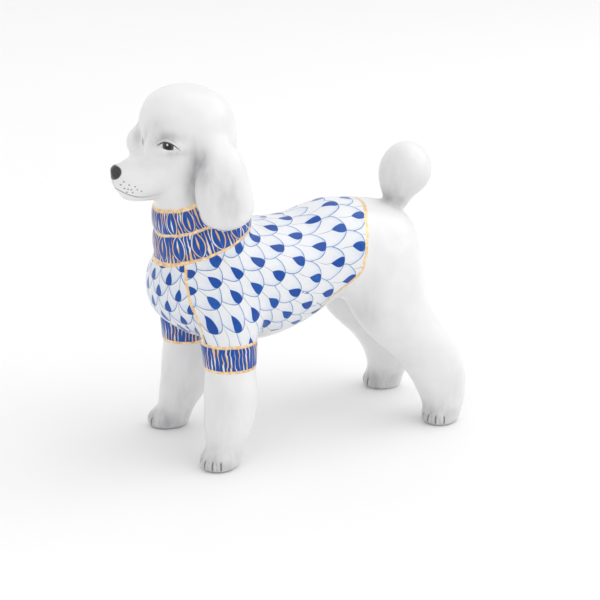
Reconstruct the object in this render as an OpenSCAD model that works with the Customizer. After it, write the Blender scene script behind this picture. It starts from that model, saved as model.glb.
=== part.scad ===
// Standing porcelain dog in a knitted sweater: a slip-cast figurine built up from
// separately cast pieces that are luted together before firing.
// Millimetres. The dog faces -Y, its left side is +X and +Z is up. The origin is on
// the ground, midway along the length and the width.

/* [Size] */
// Overall height of the figurine
figure_height = 125; // [100:1:150]
// Thickness of the cast porcelain wall, before the height is scaled
wall = 3; // [2.5:0.25:3.5]
// Diameter of the firing vent under the belly
vent_d = 6; // [4:0.5:8]

/* [Stance] */
// Distance from the midline to the middle of each fore foot
fore_spread = 21; // [20:0.25:22]
// Distance from the midline to the middle of each hind foot
hind_spread = 20; // [19:0.25:21]
// How far the toes of every foot turn outwards, in degrees
toe_out = 18; // [0:1:25]

/* [Sweater] */
// Height of each of the two folds of the roll-neck collar
collar_fold = 8.2; // [7.5:0.1:8.5]
// How far the cuffs stand proud of the forelegs
cuff_relief = 0.6; // [0.4:0.1:0.9]

/* [Tail] */
// Radius of the clipped pompon at its widest
pompon_r = 9.2; // [7.5:0.1:10]

/* [Hidden] */

design_height = 125;
size = figure_height / design_height;
mid_length = -8.1;           // middle of the length, from the middle of the wheelbase
sides = 26;                  // facets round a section
fore_y = -44;
hind_y = 44;
vent_y = -6;
seat = 1;                    // how deep the collar and the cuffs sit into their castings
collar_relief = 1.2;
neck_lean = 20.4;            // how far the collar's folds tip down at the front, in degrees
cuff_top = 42;
cuff_bottom = 32.6;

porcelain = [0.95, 0.95, 0.95];
cobalt = [0.12, 0.22, 0.62];
scale_blue = [0.55, 0.66, 0.88];

// A section is [x, y, z, tilt, half width, up, down, turn]. It lies across the X axis,
// and its up axis is +Z at tilt 0 and straight forward at tilt 90. The turn swings it
// about the vertical, with the front towards +X.
function ring(s) = [for (k = [0 : sides - 1])
    let (a = 360 * k / sides, across = s[4] * cos(a),
         along = (sin(a) > 0 ? s[5] : s[6]) * sin(a), back = -along * sin(s[3]))
    [s[0] + across * cos(s[7]) - back * sin(s[7]),
     s[1] + across * sin(s[7]) + back * cos(s[7]),
     s[2] + along * cos(s[3])]];

// One point of the smooth curve through the stations, t running from 0 to 1
function between(stations, t) = let (
    last = len(stations) - 1, i = min(floor(t * last), last - 1), u = t * last - i,
    a = stations[max(i - 1, 0)], b = stations[i],
    c = stations[i + 1], d = stations[min(i + 2, last)])
    0.5 * (2 * b + (c - a) * u + (2 * a - 5 * b + 4 * c - d) * u * u
        + (3 * b - a - 3 * c + d) * u * u * u);

// A closed skin over the stations, with flat ends
module loft(stations, steps = 3) {
    last = (len(stations) - 1) * steps;
    points = [for (j = [0 : last]) each ring(between(stations, j / last))];
    skin = [for (j = [0 : last - 1], k = [0 : sides - 1])
        let (a = j * sides + k, b = j * sides + (k + 1) % sides)
        each [[a, b, b + sides], [a, b + sides, a + sides]]];
    first_end = [for (k = [sides - 1 : -1 : 0]) k];
    last_end = [for (k = [0 : sides - 1]) last * sides + k];
    polyhedron(points, concat([first_end], skin, [last_end]), convexity = 6);
}

// The same stations with every section smaller by t, less the closing ones at each end
function shrunk(stations, t, first = 0, last = 0) = [for (i = [first : len(stations) - 1 - last])
    let (s = stations[i]) [s[0], s[1], s[2], s[3], s[4] - t, s[5] - t, s[6] - t, s[7]]];

// Fuses its children into one skin, as slip is sponged smooth over a luted joint
module one_skin() { resize([0, 0, 0]) children(); }

// Sets a piece, drawn from the middle of the wheelbase, in the part's own frame
module place() { scale(size) translate([0, -mid_length, 0]) children(); }

module mirrored(right) { if (right) mirror([1, 0, 0]) children(); else children(); }

// ---- Stations of each piece ----

function body_line() = [
    [0, -57.2, 57.0, 0, 1.5, 1.5, 1.5, 0],
    [0, -56.0, 57.0, 0, 8.5, 8.0, 7.0, 0],
    [0, -52.4, 57.0, 0, 14.5, 13.5, 11.0, 0],
    [0, -45.0, 57.0, 0, 19.0, 18.0, 16.0, 0],
    [0, -34.0, 57.0, 0, 21.0, 20.0, 19.5, 0],
    [0, -20.0, 57.0, 0, 21.5, 20.5, 21.0, 0],
    [0, -6.0, 59.5, 0, 21.0, 17.6, 20.2, 0],
    [0, 8.0, 63.5, 0, 20.2, 16.9, 17.0, 0],
    [0, 20.0, 64.5, 0, 19.6, 15.0, 15.5, 0],
    [0, 30.0, 64.0, 0, 17.6, 13.6, 15.0, 0],
    [0, 37.0, 62.5, 0, 13.4, 11.4, 13.0, 0],
    [0, 41.2, 61.0, 0, 8.0, 7.2, 8.6, 0],
    [0, 42.6, 60.5, 0, 1.5, 1.5, 1.5, 0]];

function neck_line() = [
    [0, -34.0, 60.0, 115, 19.0, 19.0, 17.0, 0],
    [0, -37.0, 68.2, 114, 17.4, 17.6, 16.8, 0],
    [0, -38.7, 74.5, 112, 15.8, 16.0, 15.4, 0],
    [0, -40.2, 81.0, 110, 14.3, 14.4, 14.0, 0],
    [0, -41.6, 88.0, 108, 13.0, 13.2, 12.8, 0],
    [0, -42.4, 92.0, 108, 12.6, 12.6, 12.4, 0]];

function skull_line() = [
    [0, -40.4, 74.0, 100, 12.0, 12.2, 11.8, 0],
    [0, -41.0, 80.0, 100, 12.0, 12.2, 11.8, 0],
    [0, -42.0, 86.0, 98, 12.2, 12.4, 12.2, 0],
    [0, -42.6, 92.0, 94, 13.2, 13.6, 13.4, 0],
    [0, -42.6, 98.0, 92, 14.2, 15.2, 14.6, 0],
    [0, -42.6, 104.0, 90, 14.8, 16.2, 15.5, 0],
    [0, -42.8, 110.0, 90, 14.8, 16.8, 15.4, 0],
    [0, -43.2, 116.0, 90, 13.8, 15.8, 14.4, 0],
    [0, -43.9, 120.8, 90, 11.0, 12.6, 11.4, 0],
    [0, -44.4, 123.9, 90, 6.2, 7.4, 6.2, 0],
    [0, -44.5, design_height, 90, 1.2, 1.2, 1.2, 0]];

function muzzle_line() = [
    [0, -70.2, 97.4, 0, 1.2, 1.2, 1.2, 0],
    [0, -69.0, 97.0, 0, 4.0, 3.2, 4.2, 0],
    [0, -66.0, 96.8, 0, 6.2, 4.8, 6.4, 0],
    [0, -61.0, 97.6, 0, 8.4, 5.8, 8.4, 0],
    [0, -55.0, 98.8, 0, 10.2, 7.0, 9.6, 0],
    [0, -48.0, 99.5, 0, 11.5, 8.5, 10.5, 0]];

function brow_line() = [
    [8.4, -60.4, 105.8, 0, 0.8, 0.6, 0.8, 0],
    [8.4, -59.6, 105.8, 0, 2.6, 2.0, 2.4, 0],
    [8.4, -57.0, 106.0, 0, 4.2, 3.4, 3.8, 0],
    [8.2, -52.0, 106.6, 0, 4.8, 4.2, 4.6, 0],
    [7.4, -46.0, 106.8, 0, 4.0, 3.6, 4.0, 0]];

function ear_line() = [
    [19.0, -38.4, 80.2, 90, 1.6, 2.4, 2.4, 0],
    [19.2, -38.6, 82.0, 90, 3.8, 6.8, 7.2, 0],
    [19.0, -39.0, 86.0, 90, 4.6, 9.2, 10.0, 0],
    [18.4, -39.4, 91.0, 90, 4.8, 10.2, 10.4, 0],
    [17.4, -39.4, 96.5, 90, 4.5, 9.8, 9.4, 0],
    [16.2, -39.0, 102.0, 90, 4.0, 8.0, 7.8, 0],
    [14.8, -38.8, 106.5, 90, 3.0, 5.2, 5.2, 0],
    [13.6, -39.0, 109.0, 90, 1.2, 2.2, 2.2, 0]];

function foreleg_line() = [
    [fore_spread, -42.2, 0, 90, 5.4, 6.0, 5.6, 0],
    [20.6, -41.6, 4.0, 90, 6.0, 6.8, 6.2, 0],
    [20.0, -40.4, 8.0, 90, 6.6, 7.0, 6.8, 0],
    [18.8, -39.0, 13.0, 90, 7.9, 8.3, 8.3, 0],
    [18.0, -37.8, 19.0, 90, 8.7, 8.9, 9.0, 0],
    [17.4, -37.5, 25.5, 90, 8.8, 9.0, 9.2, 0],
    [17.0, -37.5, cuff_bottom, 90, 8.1, 8.4, 8.7, 0],
    [16.8, -37.5, 37.0, 90, 8.3, 8.6, 8.9, 0],
    [16.4, -37.5, cuff_top, 90, 8.8, 9.2, 9.5, 0],
    [15.2, -36.6, 49.0, 90, 9.4, 11.0, 11.8, 0],
    [12.6, -34.8, 58.0, 90, 8.8, 12.4, 12.8, 0],
    [9.4, -33.4, 67.0, 90, 6.0, 8.0, 8.0, 0]];

function hind_leg_line() = [
    [hind_spread, 44.4, 0, 90, 5.6, 6.0, 6.0, 0],
    [hind_spread, 44.4, 5.0, 90, 6.4, 7.0, 7.0, 0],
    [18.0, 45.0, 10.0, 90, 7.4, 8.4, 8.8, -8],
    [16.4, 43.3, 17.5, 90, 8.8, 10.2, 10.6, -18],
    [15.0, 39.3, 25.0, 90, 9.8, 12.4, 12.6, -20],
    [15.2, 32.6, 33.0, 90, 10.4, 14.0, 13.8, -18],
    [13.8, 26.4, 42.0, 90, 10.6, 14.2, 14.2, -18],
    [12.6, 22.6, 52.0, 90, 10.2, 14.0, 15.4, -16],
    [11.2, 21.4, 62.0, 90, 9.0, 12.0, 15.2, -10],
    [8.6, 20.6, 71.0, 90, 6.0, 8.0, 8.0, 0]];

function paw_line() = [
    [0, 0, 0, 90, 5.6, 6.0, 5.2, 0],
    [0, 0, 1.6, 90, 6.4, 6.9, 6.0, 0],
    [0, 0, 3.6, 90, 6.3, 6.7, 6.2, 0],
    [0, 0.4, 5.8, 90, 5.6, 5.4, 5.8, 0],
    [0, 1.0, 7.6, 90, 3.8, 3.2, 4.2, 0],
    [0, 1.2, 8.4, 90, 1.0, 1.0, 1.0, 0]];

function tail_line() = [
    [0, 34.0, 72.0, 85, 4.0, 4.0, 4.0, 0],
    [0, 35.6, 76.0, 82, 3.8, 3.8, 3.8, 0],
    [0, 37.2, 79.0, 80, 3.9, 3.9, 3.9, 0],
    [0, 38.2, 81.0, 80, 6.8, 6.8, 6.8, 0],
    [0, 39.0, 85.0, 80, pompon_r * 0.97, pompon_r * 0.97, pompon_r * 0.97, 0],
    [0, 39.8, 89.0, 80, pompon_r, pompon_r, pompon_r, 0],
    [0, 40.6, 93.4, 80, pompon_r * 0.8, pompon_r * 0.8, pompon_r * 0.8, 0],
    [0, 41.0, 96.2, 80, pompon_r * 0.48, pompon_r * 0.48, pompon_r * 0.48, 0],
    [0, 41.2, 97.4, 80, 1.4, 1.4, 1.4, 0]];

// ---- Outer shapes, before neighbours are cut away ----

module body_shape() { loft(body_line()); loft(neck_line()); }
module head_shape() {
    loft(skull_line());
    loft(muzzle_line());
    for (right = [false, true]) mirrored(right) loft(brow_line(), 2);
}
module ear_shape(right) { mirrored(right) loft(ear_line()); }
module paw(x, y) { translate([x, y, 0]) rotate(toe_out) loft(paw_line(), 2); }
module foreleg_shape(right) { mirrored(right) { loft(foreleg_line()); paw(fore_spread + 0.6, fore_y); } }
module hind_leg_shape(right) { mirrored(right) { loft(hind_leg_line()); paw(hind_spread + 0.6, hind_y - 1); } }

// Everything above the plane across the neck that lies this far up the neck
module above_neck(rise) {
    translate([0, -40.2, 81]) rotate([neck_lean, 0, 0]) translate([-60, -60, rise]) cube(120);
}

// A band round the neck between two of those planes, seated a little into the casting
module neck_band(from, to) {
    difference() {
        loft(shrunk(neck_line(), -collar_relief));
        loft(shrunk(neck_line(), seat));
        head_shape();
        above_neck(to);
        difference() { translate([-60, -100, 40]) cube(120); above_neck(from); }
    }
}

module cuff_band() {
    intersection() {
        difference() {
            loft(shrunk(foreleg_line(), -cuff_relief));
            loft(shrunk(foreleg_line(), seat));
        }
        translate([0, -80, cuff_bottom]) cube([80, 80, cuff_top - cuff_bottom]);
    }
}

// ---- The pieces ----

module torso_casting() {
    color(scale_blue) place() one_skin() difference() {
        body_shape();
        above_neck(0);
        neck_band(-collar_fold, seat);
        loft(shrunk(body_line(), wall, 2, 2), 2);
        loft(shrunk(neck_line(), wall + seat), 2);
        translate([0, vent_y, 20]) cylinder(h = 40, d = vent_d, $fn = 24);
    }
}

module head_casting() {
    color(porcelain) place() one_skin() difference() {
        intersection() { head_shape(); above_neck(0); }
        loft(shrunk(skull_line(), wall, 0, 2), 2);
    }
}

module ear(right) {
    color(porcelain) place() one_skin() difference() {
        ear_shape(right);
        head_shape();
        body_shape();
        loft(shrunk(neck_line(), -collar_relief));
    }
}

module collar(from, to) { color(cobalt) place() one_skin() neck_band(from, to); }

module foreleg(right) {
    color(porcelain) place() one_skin() difference() {
        foreleg_shape(right);
        body_shape();
        mirrored(right) cuff_band();
    }
}

module cuff(right) { color(cobalt) place() one_skin() mirrored(right) cuff_band(); }

module hind_leg(right) {
    color(porcelain) place() one_skin() difference() { hind_leg_shape(right); body_shape(); }
}

module tail_pompon() {
    color(porcelain) place() one_skin() difference() { loft(tail_line()); body_shape(); }
}

torso_casting();
head_casting();
ear(false);  // left_ear
ear(true);  // right_ear
collar(-collar_fold, 0);  // lower_collar_fold
collar(0, collar_fold);  // upper_collar_fold
foreleg(false);  // left_foreleg
foreleg(true);  // right_foreleg
cuff(false);  // left_cuff
cuff(true);  // right_cuff
hind_leg(false);  // left_hind_leg
hind_leg(true);  // right_hind_leg
tail_pompon();
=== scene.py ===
"""Looks of a standing porcelain dog in a scale-patterned sweater.

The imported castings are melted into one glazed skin, sculpted a little further, and cut again into
one closed piece for each casting. The painting is procedural: it is laid out from the collar, the
seams and the hem of the sweater. Lengths are millimetres until a mesh is made, and metres after.
The dog faces -Y and its left side is +X.
"""

import functools
import math

import bpy
import numpy as np
import openvdb
from bpy.props import FloatProperty, FloatVectorProperty, PointerProperty
from mathutils import Matrix, Vector


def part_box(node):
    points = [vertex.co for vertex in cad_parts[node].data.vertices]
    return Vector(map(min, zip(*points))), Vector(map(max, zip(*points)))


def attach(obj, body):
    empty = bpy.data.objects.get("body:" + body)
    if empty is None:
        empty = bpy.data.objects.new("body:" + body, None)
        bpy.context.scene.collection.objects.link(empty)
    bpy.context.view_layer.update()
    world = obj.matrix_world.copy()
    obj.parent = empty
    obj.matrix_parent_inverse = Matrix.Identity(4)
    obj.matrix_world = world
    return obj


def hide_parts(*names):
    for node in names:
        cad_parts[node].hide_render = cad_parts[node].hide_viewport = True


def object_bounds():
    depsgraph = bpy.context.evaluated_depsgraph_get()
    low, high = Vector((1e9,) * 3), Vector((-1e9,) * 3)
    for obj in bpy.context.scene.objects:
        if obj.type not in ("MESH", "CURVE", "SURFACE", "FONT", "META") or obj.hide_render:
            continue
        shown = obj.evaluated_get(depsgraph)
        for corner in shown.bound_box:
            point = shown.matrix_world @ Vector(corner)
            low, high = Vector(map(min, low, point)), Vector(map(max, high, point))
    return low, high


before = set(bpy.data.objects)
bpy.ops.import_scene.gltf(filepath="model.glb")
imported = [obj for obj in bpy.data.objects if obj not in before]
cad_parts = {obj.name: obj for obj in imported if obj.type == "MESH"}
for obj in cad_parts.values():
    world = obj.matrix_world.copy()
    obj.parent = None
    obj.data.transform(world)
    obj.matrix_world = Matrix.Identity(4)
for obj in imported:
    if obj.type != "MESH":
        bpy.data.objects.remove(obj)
cad_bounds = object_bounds()

bl_info = {
    "name": "Porcelain Dog in a Scale Sweater",
    "version": (1, 0, 0),
    "blender": (4, 5, 0),
    "location": "View3D > Sidebar > Porcelain Dog",
    "description": "Sculpts, paints and glazes the pieces of a standing porcelain dog",
    "category": "Object",
}

MM = 0.001
SIDES = {"left": 1, "right": -1}
CORE = ("torso_casting", "head_casting", "lower_collar_fold", "upper_collar_fold")


def corners(node):
    """Lowest and highest corner of a casting, in millimetres."""
    low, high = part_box(node)
    return np.array(low) / MM, np.array(high) / MM


# ---- Landmarks, worked out from the castings ----

HEAD_LOW, HEAD_HIGH = corners("head_casting")
FOLD_LOW, FOLD_HIGH = corners("upper_collar_fold")
CUFF_LOW, CUFF_HIGH = corners("left_cuff")
TAIL_LOW, TAIL_HIGH = corners("tail_pompon")
EAR_LOW, EAR_HIGH = corners("left_ear")

NOSE = np.array([0.0, HEAD_LOW[1] + 1.2, HEAD_HIGH[2] - 26.3])
EYE = np.array([11.6, HEAD_LOW[1] + 14.9, HEAD_HIGH[2] - 17.0])
COLLAR_CENTRE = np.array([0.0, HEAD_LOW[1] + 30.0, HEAD_HIGH[2] - 44.0])
COLLAR_LEAN = math.radians(20.4)   # how far the neck leans forward
COLLAR_FOLD = 8.2                  # height of each fold
COLLAR_GROOVE = 0.8                # the groove between the folds, up the neck from the centre
COLLAR_JOINT = 0.1                 # where one fold's casting ends and the other's begins
COLLAR_RADIUS = 15.5
CUFF_RADIUS = 9.0
BARREL_Z = 58.0                    # height of the axis that the flank is painted round
CHEST_Y = COLLAR_CENTRE[1] + 6.1   # upright axis that the chest is painted round
FLANK_PITCH = 7.75                 # from one row of scales to the next
CHEST_PITCH = 4.6
CHEST_TURN = 22                    # degrees round the chest for each column of scales
TOE_CLEFTS = {"fore": (-10, 17, 44, 70), "hind": (-10, 17, 44, 72)}   # bearings, in degrees
NOT_OWNED = 20                     # added to a distance, so that the casting isn't chosen


# ---- Clay: solids held as distances on a grid ----

class Clay:
    """The grid that every solid is drawn on, with distances in mm that are negative inside."""

    margin = 8

    def __init__(self, step, band):
        self.step = step
        self.band = band
        low, high = (np.array(corner) / MM for corner in cad_bounds)
        self.first = np.floor(low / step).astype(int) - self.margin
        self.count = np.ceil(high / step).astype(int) + self.margin - self.first + 1
        self.axes = [(self.first[a] + np.arange(self.count[a])) * step for a in range(3)]
        self.transform = openvdb.createLinearTransform(voxelSize=step)

    def from_faces(self, points, triangles=None, quads=None):
        """The distances to a closed skin."""
        grid = openvdb.FloatGrid.createLevelSetFromPolygons(
            np.ascontiguousarray(points, np.float32), triangles=triangles, quads=quads,
            transform=self.transform, halfWidth=self.band / self.step)
        field = np.empty(tuple(self.count), np.float32)
        grid.copyToArray(field, ijk=tuple(int(i) for i in self.first))
        return field

    def from_casting(self, node):
        """The distances to the skin of one casting."""
        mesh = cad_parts[node].data
        mesh.calc_loop_triangles()
        points = np.empty(len(mesh.vertices) * 3, np.float32)
        mesh.vertices.foreach_get("co", points)
        triangles = np.empty(len(mesh.loop_triangles) * 3, np.int32)
        mesh.loop_triangles.foreach_get("vertices", triangles)
        triangles = triangles.reshape(-1, 3).astype(np.uint32)
        return self.from_faces(points.reshape(-1, 3) / MM, triangles=triangles)

    def skin(self, field):
        """Points and quads of the surface where the field is zero."""
        grid = openvdb.FloatGrid(float(self.band))
        grid.copyFromArray(np.ascontiguousarray(field), ijk=tuple(int(i) for i in self.first))
        grid.transform = self.transform
        points, quads = grid.convertToQuads(isovalue=0.0)
        return points.astype(float), quads.astype(np.int64)

    def redistanced(self, field):
        """The same solid, with true distances again."""
        points, quads = self.skin(field)
        return self.from_faces(points, quads=quads.astype(np.uint32))

    def block(self, low, high):
        """Slices of the grid between two corners, and the open x, y and z arrays there."""
        cut = []
        for a in range(3):
            start = math.floor(low[a] / self.step) - self.first[a]
            start = int(np.clip(start, 0, self.count[a] - 2))
            stop = math.ceil(high[a] / self.step) - self.first[a] + 1
            cut.append(slice(start, int(np.clip(stop, start + 2, self.count[a]))))
        x, y, z = (self.axes[a][cut[a]] for a in range(3))
        return tuple(cut), (x[:, None, None], y[None, :, None], z[None, None, :])

    def sample(self, field, points):
        """The field at any points, by trilinear interpolation."""
        place = points / self.step - self.first
        cell = np.clip(np.floor(place).astype(int), 0, self.count - 2)
        part = place - cell
        total = np.zeros(len(points))
        for corner in np.ndindex(2, 2, 2):
            weight = np.prod(np.where(np.array(corner) == 1, part, 1 - part), axis=1)
            at = cell + np.array(corner)
            total += weight * field[at[:, 0], at[:, 1], at[:, 2]]
        return total


def blurred(field, reach):
    """The field after a Gaussian blur, with its reach in grid steps."""
    span = int(math.ceil(3 * reach))
    weights = np.exp(-0.5 * (np.arange(-span, span + 1) / reach) ** 2)
    weights /= weights.sum()
    for axis in range(3):
        padded = np.pad(field, [(span, span) if a == axis else (0, 0) for a in range(3)], mode="edge")
        size = field.shape[axis]
        total = np.zeros_like(field)
        for k, weight in enumerate(weights):
            cut = [slice(None)] * 3
            cut[axis] = slice(k, k + size)
            total += np.float32(weight) * padded[tuple(cut)]
        field = total
    return field


def melted(a, b, radius):
    """Union of two solids with a fillet of about this radius."""
    part = np.clip(0.5 + 0.5 * (b - a) / radius, 0, 1)
    return b * (1 - part) + a * part - radius * part * (1 - part)


def smooth(low, high, value):
    """0 below low, 1 above high, and an even turn between them."""
    t = np.clip((value - low) / (high - low), 0, 1)
    return t * t * (3 - 2 * t)


def ellipsoid(at, centre, radii):
    """About the distance to an ellipsoid."""
    x, y, z = (at[a] - centre[a] for a in range(3))
    near = np.sqrt((x / radii[0]) ** 2 + (y / radii[1]) ** 2 + (z / radii[2]) ** 2)
    steep = np.sqrt((x / radii[0] ** 2) ** 2 + (y / radii[1] ** 2) ** 2 + (z / radii[2] ** 2) ** 2)
    return near * (near - 1) / np.maximum(steep, 1e-6)


def rod(at, path, thickness):
    """Distance to a round rod along a path of points."""
    best = None
    for start, end in zip(path[:-1], path[1:]):
        start, along = np.array(start, float), np.array(end, float) - np.array(start, float)
        rest = [at[a] - start[a] for a in range(3)]
        t = np.clip(sum(rest[a] * along[a] for a in range(3)) / (along @ along), 0, 1)
        gap = np.sqrt(sum((rest[a] - t * along[a]) ** 2 for a in range(3)))
        best = gap if best is None else np.minimum(best, gap)
    return best - thickness


def curve(points, t):
    """The smooth curve through points (place, value), at the places t."""
    place, value = (np.array(column, float) for column in zip(*points))
    slope = np.gradient(value, place)
    k = np.clip(np.searchsorted(place, t) - 1, 0, len(place) - 2)
    width = place[k + 1] - place[k]
    u = np.clip((t - place[k]) / width, 0, 1)
    return ((1 + 2 * u) * (1 - u) ** 2 * value[k] + u * (1 - u) ** 2 * width * slope[k]
            + u * u * (3 - 2 * u) * value[k + 1] + u * u * (u - 1) * width * slope[k + 1])


# ---- Places on the sweater ----

def collar_rise(y, z):
    """How far a place is up the neck from the collar's centre."""
    up, back = z - COLLAR_CENTRE[2], y - COLLAR_CENTRE[1]
    return up * math.cos(COLLAR_LEAN) - back * math.sin(COLLAR_LEAN)


def fold_rise(points):
    """How far each point is up the neck from the collar's centre."""
    return collar_rise(points[:, 1], points[:, 2])


def fold_turn(points):
    """The angle round the neck, in degrees from the front, growing towards the left side."""
    away = points - COLLAR_CENTRE
    back = away[:, 1] * math.cos(COLLAR_LEAN) + away[:, 2] * math.sin(COLLAR_LEAN)
    return np.degrees(np.arctan2(away[:, 0], -back))


# the sweater's hem on the side of the body, as (height, place along Y)
HEM = [(38.0, 4.5), (45.0, 5.5), (50.4, 7.8), (53.4, 11.2), (56.4, 16.2), (59.0, 18.6), (64.0, 20.1),
       (72.0, 22.3), (76.5, 24.4), (79.6, 28.2), (86.0, 33.0)]


def hem_gap(points):
    """Distance behind the sweater's hem, negative on the sweater."""
    z = points[:, 2]
    place = curve(HEM, z)
    slope = curve(HEM, z + 0.5) - curve(HEM, z - 0.5)
    return (points[:, 1] - place) / np.sqrt(1 + slope ** 2)


def raglan_gap(points):
    """Distance outside the seam from the collar to the cuff, negative on the chest."""
    forward = CHEST_Y - points[:, 1]
    side = np.abs(points[:, 0])
    seam = 33.9 + 0.73 * (COLLAR_CENTRE[2] - 10.8 - points[:, 2])
    angle = np.degrees(np.arctan2(side, forward))
    return np.radians(angle - seam) * np.hypot(side, forward)


def scale_layout(points):
    """Row, column, flow angle, row pitch and column width of the painted scales at each point.

    On the flank the rows go from the collar to the hem; on the chest they go down from the collar.
    """
    side, y, z = np.abs(points[:, 0]), points[:, 1], points[:, 2]
    row = (y - 8.1 + (76 - z) * (0.2 + 0.0036 * (y + 33))) / FLANK_PITCH + 1.25
    angle = np.degrees(np.arctan2(side, z - BARREL_Z))
    middle = 98 + 0.7 * (y + 1.5)
    spread = np.where(angle < middle, 29.6 + 0.25 * y, 25.4 + 0.15 * y)
    spread = np.clip(spread, 20, 33)
    column = (angle - middle) / spread
    width = np.clip(np.radians(spread) * np.hypot(side, z - BARREL_Z), 7.0, 10.5)
    flow = np.clip(3 - 1.35 * y, -10, 38) + 28 * smooth(56, 44, z) * smooth(-14, -24, y)

    forward = CHEST_Y - y
    chest = raglan_gap(points) < 0
    row = np.where(chest, (67.8 - z) / CHEST_PITCH + 20, row + 40)
    column = np.where(chest, np.degrees(np.arctan2(side, forward)) / CHEST_TURN + 0.5, column + 20)
    width = np.where(chest, np.radians(CHEST_TURN) * np.hypot(side, forward), width)
    flow = np.radians(np.where(chest, 0, flow))
    return row, column, flow, np.where(chest, CHEST_PITCH, FLANK_PITCH), width


# ---- The glazed skin ----

def filled(solid):
    """The solid with the hollow inside it closed, along X and along Y."""
    whole = np.ones_like(solid)
    for axis in (0, 1):
        before = np.maximum.accumulate(solid, axis=axis)
        after = np.flip(np.maximum.accumulate(np.flip(solid, axis), axis=axis), axis)
        whole &= before & after
    return whole


def sculpt(clay, field):
    """Adds the small forms that the castings leave out."""
    def carve(path, thickness, soften):
        low = np.min(path, axis=0) - thickness - 3
        high = np.max(path, axis=0) + thickness + 3
        cut, at = clay.block(low, high)
        field[cut] = -melted(-field[cut], rod(at, path, thickness), soften)

    def press(way, centre, radii, soften):
        centre, radii = np.array(centre), np.array(radii)
        cut, at = clay.block(centre - radii - 4, centre + radii + 4)
        field[cut] = way * melted(way * field[cut], ellipsoid(at, centre, radii), soften)

    swell, dent = functools.partial(press, 1), functools.partial(press, -1)

    # groove between the collar's two folds, and soft rolls either side of it
    cut, at = clay.block(FOLD_LOW - 12, FOLD_HIGH + 4)
    rise = collar_rise(at[1], at[2])
    reach = np.sqrt(at[0] ** 2 + (at[1] - COLLAR_CENTRE[1]) ** 2)
    on_collar = smooth(21, 19.5, reach) * smooth(-COLLAR_FOLD - 0.4, -COLLAR_FOLD + 1, rise)
    on_collar = on_collar * smooth(COLLAR_FOLD + 0.4, COLLAR_FOLD - 1, rise)
    roll = 0.45 * np.abs(np.sin(math.pi * (rise - COLLAR_GROOVE) / (COLLAR_FOLD - 0.4)))
    groove = 0.7 * np.exp(-((rise - COLLAR_GROOVE) / 0.55) ** 2)
    field[cut] += (on_collar * (groove - roll)).astype(np.float32)

    # nose, chin, narrow end of the pompon, and the line from the nose to the mouth
    swell(NOSE + (0, 0.9, 0.1), (3.2, 2.4, 2.4), 0.8)
    swell(NOSE + (0, 9.6, -8.2), (4.0, 7.6, 2.0), 2.0)
    swell((0, TAIL_HIGH[1] - 12.4, TAIL_HIGH[2] - 14.2), (6.0, 6.0, 8.6), 3.0)
    carve([NOSE + (0, -1.2, -2.2), NOSE + (0, -0.6, -4.2), NOSE + (0, 0.8, -6.2)], 0.28, 0.5)
    # nostril, mouth, brow, corner and lid of the eye, eyeball, and the folds of the ear
    for side in SIDES.values():
        flip = np.array([side, 1, 1])
        dent((NOSE + (1.9, -0.9, -0.4)) * flip, (0.75, 0.9, 0.6), 0.5)
        mouth = [(2.0 + 0.35 * t, mouth_y(t), mouth_z(mouth_y(t))) for t in range(9)]
        carve([np.array(p) * flip for p in mouth], 0.3, 0.6)
        swell((EYE + (-5.1, -1.2, -2.2)) * flip, (4.7, 4.9, 5.6), 3.0)
        dent((EYE + (-9.4, -5.4, 1.2)) * flip, (0.8, 1.3, 1.8), 2.0)
        dent((EYE + (-0.4, -0.8, 2.6)) * flip, (3.0, 1.6, 0.8), 2.0)
        swell((EYE + (-1.7, 0.9, -0.3)) * flip, (2.5, 2.7, 2.3), 0.9)
        ear = (EAR_LOW + EAR_HIGH) / 2
        for shift in (-4.6, 0.4, 5.0):
            carve([(ear + (4.9, shift * 0.6, 12)) * flip, (ear + (6.4, shift, 0)) * flip,
                   (ear + (6.0, shift * 1.1, -9)) * flip], 1.1, 2.2)
    # clefts between the toes
    for centre, clefts in paws():
        for cleft in clefts:
            out = np.array([math.sin(math.radians(cleft)) * math.copysign(1, centre[0]),
                            -math.cos(math.radians(cleft)), 0])
            carve([centre + 4.2 * out + (0, 0, 5.2), centre + 6.4 * out + (0, 0, 3.6),
                   centre + 7.5 * out + (0, 0, 1.6)], 0.35, 0.8)
    return field


def mouth_y(t):
    """Places along the mouth, from the front backwards."""
    return NOSE[1] + 0.9 + 1.3 * t


def mouth_z(y):
    """Height of the line of the mouth along the muzzle."""
    return NOSE[2] - 8.1 + 0.045 * (y - NOSE[1] - 8.0) ** 2


def paws():
    """The middle of each paw on the ground, with the bearings of the clefts between its toes."""
    found = []
    for side in SIDES.values():
        found.append((np.array([side * 21.6, -35.9, 0.0]), TOE_CLEFTS["fore"]))
        found.append((np.array([side * 20.6, 51.1, 0.0]), TOE_CLEFTS["hind"]))
    return found


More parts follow.
